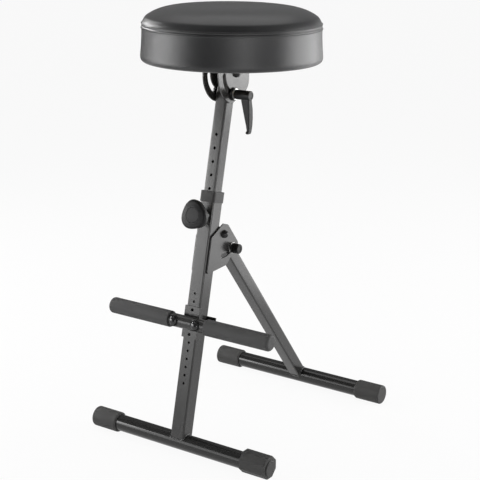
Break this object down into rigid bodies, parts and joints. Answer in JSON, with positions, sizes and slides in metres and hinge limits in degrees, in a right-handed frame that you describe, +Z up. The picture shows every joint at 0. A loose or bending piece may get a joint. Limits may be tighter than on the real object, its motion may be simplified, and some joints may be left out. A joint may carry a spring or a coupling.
{
  "type": "musician stool",
  "caption": "Folding musician's stool: round padded seat that tilts on a sliding square post, folding rear leg, sliding footrest and a turnable levelling foot cap",
  "frame": {"origin": "on the floor, midway between the two foot bars and on the stool's middle plane", "axes": "+Z up, the sitter faces -Y, +X is the side with the clamp lever and the levelling cap"},
  "size_m": [0.407, 0.459, 0.8192],
  "materials": {
    "powder_coat": "dark semi-gloss powder coat on steel",
    "black_plastic": "black moulded plastic",
    "grey_rubber": "matte dark grey rubber",
    "black_steel": "blackened steel fixings",
    "zinc_plate": "zinc-plated steel",
    "leatherette": "black grained leatherette over foam",
    "plywood": "plain plywood",
    "nylon": "black sliding plastic"
  },
  "bodies": {
    "frame": {"outer_tube": "powder_coat", "front_foot_tube": "powder_coat", "front_foot_cap_left": "grey_rubber", "guide_collar": "black_plastic", "hinge_cheek_left": "powder_coat", "hinge_cheek_right": "powder_coat", "fold_pivot_bolt": "black_steel", "fold_pivot_nut": "black_steel", "hinge_spacer_left": "nylon", "hinge_spacer_right": "nylon", "pin_bush": "powder_coat", "pin_spring": "zinc_plate"},
    "leveller": {"front_foot_leveller": "grey_rubber"},
    "rear_leg": {"rear_leg_tube": "powder_coat", "rear_foot_tube": "powder_coat", "rear_foot_cap_left": "grey_rubber", "rear_foot_cap_right": "grey_rubber", "lock_bolt": "black_steel", "lock_washer": "zinc_plate"},
    "fold_lock": {"fold_lock_knob": "black_plastic"},
    "post": {"inner_tube": "powder_coat", "post_glide": "nylon", "tilt_pivot_bolt": "black_steel", "tilt_pivot_nut": "black_steel", "tilt_spacer_left": "nylon", "tilt_spacer_right": "nylon", "clamp_bolt": "black_steel", "clamp_spacer": "black_plastic", "clamp_washer": "zinc_plate"},
    "seat": {"seat_bracket": "powder_coat", "seat_board": "plywood", "seat_cushion": "leatherette", "seat_screw_1": "zinc_plate", "seat_screw_2": "zinc_plate", "seat_screw_3": "zinc_plate", "seat_screw_4": "zinc_plate"},
    "tilt_lever": {"clamp_lever": "black_plastic"},
    "lock_pin": {"pin_spindle": "zinc_plate"},
    "pin_knob": {"height_knob": "black_plastic"},
    "footrest": {"footrest_tube": "powder_coat", "footrest_grip_left": "grey_rubber", "footrest_grip_right": "grey_rubber", "footrest_channel": "powder_coat", "footrest_clamp_plate": "powder_coat", "footrest_bolt_left": "black_plastic", "footrest_bolt_right": "black_plastic", "footrest_nut_left": "zinc_plate", "footrest_nut_right": "zinc_plate"}
  },
  "joints": [
    {"name": "leveller_turn", "type": "hinge", "parent": "frame", "child": "leveller", "pos_m": [0.176, -0.21, 0.0195], "axis": [1, 0, 0], "continuous": true},
    {"name": "leg_fold", "type": "hinge", "parent": "frame", "child": "rear_leg", "pos_m": [0, -0.09737, 0.40229], "axis": [1, 0, 0], "range_deg": [-47, 0]},
    {"name": "fold_lock_turn", "type": "hinge", "parent": "rear_leg", "child": "fold_lock", "pos_m": [0, -0.07107, 0.36954], "axis": [1, 0, 0], "continuous": true},
    {"name": "seat_height", "type": "slide", "parent": "frame", "child": "post", "axis": [0, 0.213, 0.977], "range_m": [-0.15, 0.1]},
    {"name": "seat_tilt", "type": "hinge", "parent": "post", "child": "seat", "pos_m": [0, -0.06194, 0.69855], "axis": [1, 0, 0], "range_deg": [0, 50]},
    {"name": "clamp_turn", "type": "hinge", "parent": "post", "child": "tilt_lever", "pos_m": [0, -0.07004, 0.66142], "axis": [1, 0, 0], "range_deg": [-50, 90]},
    {"name": "pin_pull", "type": "slide", "parent": "frame", "child": "lock_pin", "axis": [0, -0.977, 0.213], "range_m": [0, 0.007], "stiffness_N_per_m": 700, "springref_m": -0.004, "deforming": ["pin_spring"]},
    {"name": "knob_turn", "type": "hinge", "parent": "lock_pin", "child": "pin_knob", "pos_m": [0, -0.1521, 0.44698], "axis": [0, -0.977, 0.213], "continuous": true},
    {"name": "footrest_height", "type": "slide", "parent": "frame", "child": "footrest", "axis": [0, 0.213, 0.977], "range_m": [-0.093, 0.031]}
  ]
}
